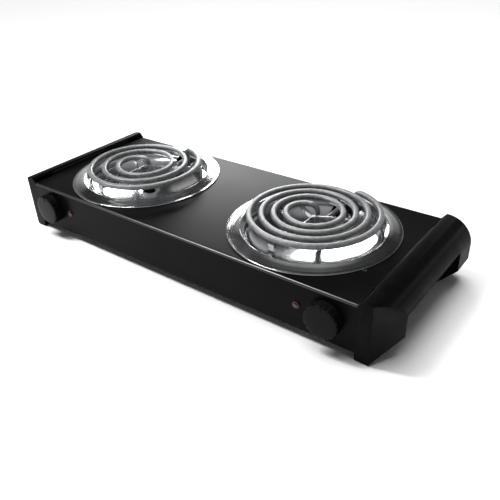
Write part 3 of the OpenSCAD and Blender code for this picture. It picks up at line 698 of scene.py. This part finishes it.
def buildCap(plan):
    capLow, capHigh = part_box("right_end_cap")
    end = shellHigh.x
    wall = plan["wall"] * mm
    overlap = plan["overlap"] * mm
    front, rear = capLow.y, capHigh.y
    halfGrip = plan["grip"] / 2 * mm
    gripFront, gripRear = midY - halfGrip, midY + halfGrip
    # the cutters reach past what they cut
    past = 10 * mm
    cap = capForm("rightEndCap", plan, 0, 0, front, rear, capLow.z)
    # hollow legs, open towards the box
    hollowOut = -plan["hollowOut"] * mm
    hollowFoot = capLow.z + wall + plan["soleMore"] * mm
    for lowY, highY in ((front + wall, gripFront - wall), (gripRear + wall, rear - wall)):
        cutAway(cap, capForm("legHollow", plan, wall, hollowOut, lowY, highY, hollowFoot))
    # the hand grip: hollow under the crown, open below its skirt
    cutAway(cap, capForm("gripHollow", plan, wall, wall, gripFront, gripRear, -past))
    cutAway(cap, block("gripGap", (end + wall, gripFront, -past),
                       (capHigh.x + past, gripRear, topZ - plan["skirt"] * mm)))
    cutAway(cap, block("wallFoot", (end - past / 2, gripFront, -past),
                       (end + wall + past / 2, gripRear, shellLow.z)))
    softenEdges(cap, plan["edge"] * mm, segments=3, angle=35)
    smooth(cap, 40)
    # lugs for the screws, and the tongue under the box's top
    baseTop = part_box("base_plate")[1].z + 0.1 * mm
    lugLong, lugWide, lugHigh = (size * mm for size in plan["lug"])
    tongueLong, tongueIn, tongueHigh = (size * mm for size in plan["tongue"])
    extras = []
    for lugY in (gripFront + plan["lugIn"] * mm, gripRear - plan["lugIn"] * mm):
        extras.append(block("lug", (end - lugLong, lugY - lugWide / 2, baseTop),
                            (end + overlap, lugY + lugWide / 2, baseTop + lugHigh)))
    tongueTop = topZ - plan["tongueDown"] * mm
    extras.append(block("tongue", (end - tongueLong, gripFront + tongueIn, tongueTop - tongueHigh),
                        (end + overlap, gripRear - tongueIn, tongueTop)))
    for extra in extras:
        softenEdges(extra, plan["extraEdge"] * mm, segments=2)
    return joined([cap] + extras, "rightEndCap")


rightCap = buildCap(capPlan)
leftCap = mirrored(rightCap, "leftEndCap")
takeOver(rightCap, "right_end_cap")
takeOver(leftCap, "left_end_cap")
print("end caps")

# ---- knobs ----
knobPlan = {"radius": 19.5, "back": 1.4, "stand": 12.8, "bore": 5.6, "web": 4.6, "faceMiddle": 1.2,
            "flutes": 18, "fluteWidth": 5.0, "fluteDepth": 0.035, "fluteStart": 4.5, "segments": 144,
            "pointer": (1.6, 6.5, 1.3), "pointerIn": 1.5, "pointerUp": 0.2, "pointerEdge": 0.3}


def standOnPanel(piece, place):
    # from a drawing about Z to the front panel, with +Z turned to the front
    piece.rotation_euler = (math.radians(90), 0, 0)
    piece.location = place
    return settle(piece)


def knobCentre(side):
    low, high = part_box(side + "_knob")
    return Vector(((low.x + high.x) / 2, shellLow.y, (low.z + high.z) / 2))


def buildKnob(side, plan):
    radius = plan["radius"]
    stand = plan["stand"]
    # from the bore along the hollow back, round the skirt and in over the face
    outline = [(plan["bore"], plan["web"]), (radius - 3.2, plan["web"]), (radius - 2.0, 3.4),
               (radius - 1.6, plan["back"]),
               (radius - 0.3, plan["back"]), (radius, plan["back"] + 0.3), (radius, 3.0),
               (radius - 0.25, 6.5), (radius - 0.5, stand - 2.6)]
    outline += arcPoints((radius - 1.9, stand - 1.75), 1.3, 10, 75, 5)
    outline += [(radius - 3.2, stand - 0.32), (radius - 7.5, stand - 0.12), (plan["faceMiddle"], stand)]
    knob = ringStack(side + "Knob", scaled(outline), plan["segments"])
    closeLastRing(knob, stand * mm, plan["faceMiddle"] * mm)
    facesOutward(knob)
    # finger flutes round the side
    step = 360 / plan["flutes"]

    def inFlute(co):
        angle = (math.degrees(math.atan2(co.y, co.x)) - step / 2) % step
        inAngle = min(angle, step - angle) < plan["fluteWidth"] / 2
        onSide = math.hypot(co.x, co.y) > (radius - 1.3) * mm
        return inAngle and onSide and co.z > plan["fluteStart"] * mm

    pick(knob, "vertex", inFlute)
    depth = 1 - plan["fluteDepth"]
    bpy.ops.transform.resize(value=(depth, depth, 1), center_override=(0, 0, 0))
    done()
    # raised pointer
    width, length, height = (size * mm for size in plan["pointer"])
    tip = (radius - plan["pointerIn"]) * mm
    face = stand * mm
    pointer = block("pointer", (-width / 2, tip - length, face - height),
                    (width / 2, tip, face + plan["pointerUp"] * mm))
    softenEdges(pointer, plan["pointerEdge"] * mm, segments=2)
    smooth(knob, 30)
    knob = joined([knob, pointer], side + "Knob")
    standOnPanel(knob, knobCentre(side))
    return takeOver(knob, side + "_knob", side + "_control")


for side in ("left", "right"):
    buildKnob(side, knobPlan)
print("knobs")

# ---- lamps ----
lampLensPlan = {"rim": 4.2, "dome": 3.0, "back": -2.9, "seat": 0.12, "rimTop": 1.5, "domeFoot": 1.15,
                "domeRise": 1.6, "segments": 48}


def buildLens(side, plan):
    rim, dome, seat = plan["rim"], plan["dome"], plan["seat"]
    # the stem in the panel's hole, the rim on the panel, and the dome
    outline = [(dome - 0.1, plan["back"]), (dome - 0.1, seat), (rim, seat), (rim, 0.9),
               (rim - 0.35, plan["rimTop"] - 0.15), (dome + 0.35, plan["rimTop"]), (dome, 1.2)]
    for tilt in range(10, 90, 10):
        turn = math.radians(tilt)
        outline.append((dome * math.cos(turn), plan["domeFoot"] + plan["domeRise"] * math.sin(turn)))
    lens = ringStack(side + "LampLens", scaled(outline), plan["segments"])
    lastRadius, lastHeight = scaled(outline)[-1]
    closeLastRing(lens, lastHeight, lastRadius)
    facesOutward(lens)
    smooth(lens, 35)
    low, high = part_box(side + "_lamp_lens")
    standOnPanel(lens, Vector(((low.x + high.x) / 2, shellLow.y, (low.z + high.z) / 2)))
    return takeOver(lens, side + "_lamp_lens")


for side in ("left", "right"):
    buildLens(side, lampLensPlan)
print("lamps")

# ---- coil supports ----
supportPlan = {"angles": (-93, 27, 147), "thick": 1.3, "high": 7.0, "reach": 76.5, "foot": 8.0, "hub": 2.4,
               "tabWidth": 2.4, "tabRise": 3.4, "tabRoom": 1.6, "tabRoot": 1, "edge": 0.22}


def crossings(side, plan, angle):
    # how far from the pan's middle the tube crosses a ray at this angle
    own = plan[side]
    found = []
    entryRadius, entryTurn = plan["entry"]
    turned = plan["spiralAngle"] + entryTurn
    middle = Vector((*own["pole"], 0)) + pointing(plan["spiralAngle"]) * (own["radius"] - entryRadius)
    lastRadius = entryRadius
    ray = pointing(angle)
    across = Vector((-ray.y, ray.x, 0))
    before = None
    for radius, turn in coilArcs(plan, own):
        middle += pointing(turned) * (lastRadius - radius)
        for i in range(turn + 1):
            place = middle + pointing(turned - i) * radius
            off = place.dot(across)
            if before is not None and before * off <= 0 and place.dot(ray) > 0:
                found.append(place.dot(ray))
            before = off
        turned -= turn
        lastRadius = radius
    return sorted(found)


def buildSupport(side, plan):
    centre = panCentre(side)
    low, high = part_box(side + "_coil_support")
    top = (high.z - topZ) / mm
    bottom = (low.z - topZ) / mm
    thick, rise, reach = plan["thick"], plan["high"], plan["reach"]
    halfTab = plan["tabWidth"] / 2
    tabGap = 2 * coilPlan["tube"] + plan["tabWidth"] + plan["tabRoom"]
    parts = []
    bpy.ops.mesh.primitive_cylinder_add(vertices=32, radius=plan["hub"] * mm, depth=rise * mm,
                                        location=(0, 0, (top - rise / 2) * mm))
    parts.append(settle(newest("hub")))
    for angle in plan["angles"]:
        radii = crossings(side, coilPlan, angle)
        arm = [block("arm", (plan["hub"] / 2 * mm, -thick / 2 * mm, (top - rise) * mm),
                     ((reach - thick / 2) * mm, thick / 2 * mm, top * mm)),
               block("foot", ((reach - thick) * mm, -plan["foot"] / 2 * mm, bottom * mm),
                     (reach * mm, plan["foot"] / 2 * mm, top * mm))]
        # a tab stands in each gap between two turns that has room for it
        gaps = [(inner + outer) / 2 for inner, outer in zip(radii, radii[1:]) if outer - inner > tabGap]
        for place in gaps:
            arm.append(block("tab", ((place - halfTab) * mm, -thick / 2 * mm, (top - plan["tabRoot"]) * mm),
                             ((place + halfTab) * mm, thick / 2 * mm, (top + plan["tabRise"]) * mm)))
        for piece in arm:
            softenEdges(piece, plan["edge"] * mm, segments=2)
        arm = joined(arm, "arm")
        arm.rotation_euler = (0, 0, math.radians(angle))
        parts.append(settle(arm))
    support = joined(parts, side + "CoilSupport")
    support.location = centre
    settle(support)
    smooth(support, 35)
    return takeOver(support, side + "_coil_support", side + "_element")


for side in ("left", "right"):
    buildSupport(side, supportPlan)
print("coil supports")

# ---- light, floor and finish ----
stagePlan = {"floorSize": 40.0, "floorColour": (0.83, 0.83, 0.83), "floorRough": 0.7, "floorSpecular": 0.2}
lampPlan = {
    "backSoftbox": {"from": (-0.76, 1.02, 0.48), "size": (0.55, 0.36), "power": 9.5, "up": "Y"},
    "keyStrip": {"from": (-0.62, -0.32, 1.2), "size": (0.62, 0.13), "power": 16, "up": "X"},
}
skylight = {"turn": (-8, -14, 0), "angle": 55, "power": 3.1}
# greys of the surroundings, from level with the object up to straight above it
skyGreys = [(0.0, 0.9), (0.5, 0.02), (0.8, 0.06), (1.0, 0.4)]


def buildLight(name, plan, target):
    data = bpy.data.lights.new(name, "AREA")
    data.shape = "RECTANGLE"
    data.size, data.size_y = plan["size"]
    data.energy = plan["power"]
    light = bpy.data.objects.new(name, data)
    light.location = plan["from"]
    light.rotation_euler = (target - Vector(plan["from"])).to_track_quat("-Z", plan["up"]).to_euler()
    light.visible_camera = False
    bpy.context.scene.collection.objects.link(light)


def buildSkylight(plan):
    # an even, soft light from above that no surface mirrors
    data = bpy.data.lights.new("skylight", "SUN")
    data.energy = plan["power"]
    data.angle = math.radians(plan["angle"])
    light = bpy.data.objects.new("skylight", data)
    light.rotation_euler = [math.radians(angle) for angle in plan["turn"]]
    light.visible_glossy = False
    bpy.context.scene.collection.objects.link(light)


def buildWorld(greys):
    # a bright horizon, a dark ring above it and a paler top
    world = bpy.data.worlds.new("studio")
    world.use_nodes = True
    tree = world.node_tree
    sky = greyRamp(tree, heightOf(tree, "Generated"), greys)
    tree.links.new(sky, tree.nodes["Background"].inputs["Color"])
    bpy.context.scene.world = world


def buildFloor(plan):
    bpy.ops.mesh.primitive_plane_add(size=plan["floorSize"], location=(0, 0, 0))
    floor = newest("floor")
    material, tree, shader = startMaterial("paleFloor", specular=plan["floorSpecular"])
    shader.inputs["Base Color"].default_value = (*plan["floorColour"], 1)
    shader.inputs["Roughness"].default_value = plan["floorRough"]
    floor.data.materials.append(material)


clearSelection()
target = Vector((0, midY, topZ))
for name, plan in lampPlan.items():
    buildLight(name, plan, target)
buildSkylight(skylight)
buildWorld(skyGreys)
buildFloor(stagePlan)
bpy.context.scene.view_settings.view_transform = "Standard"
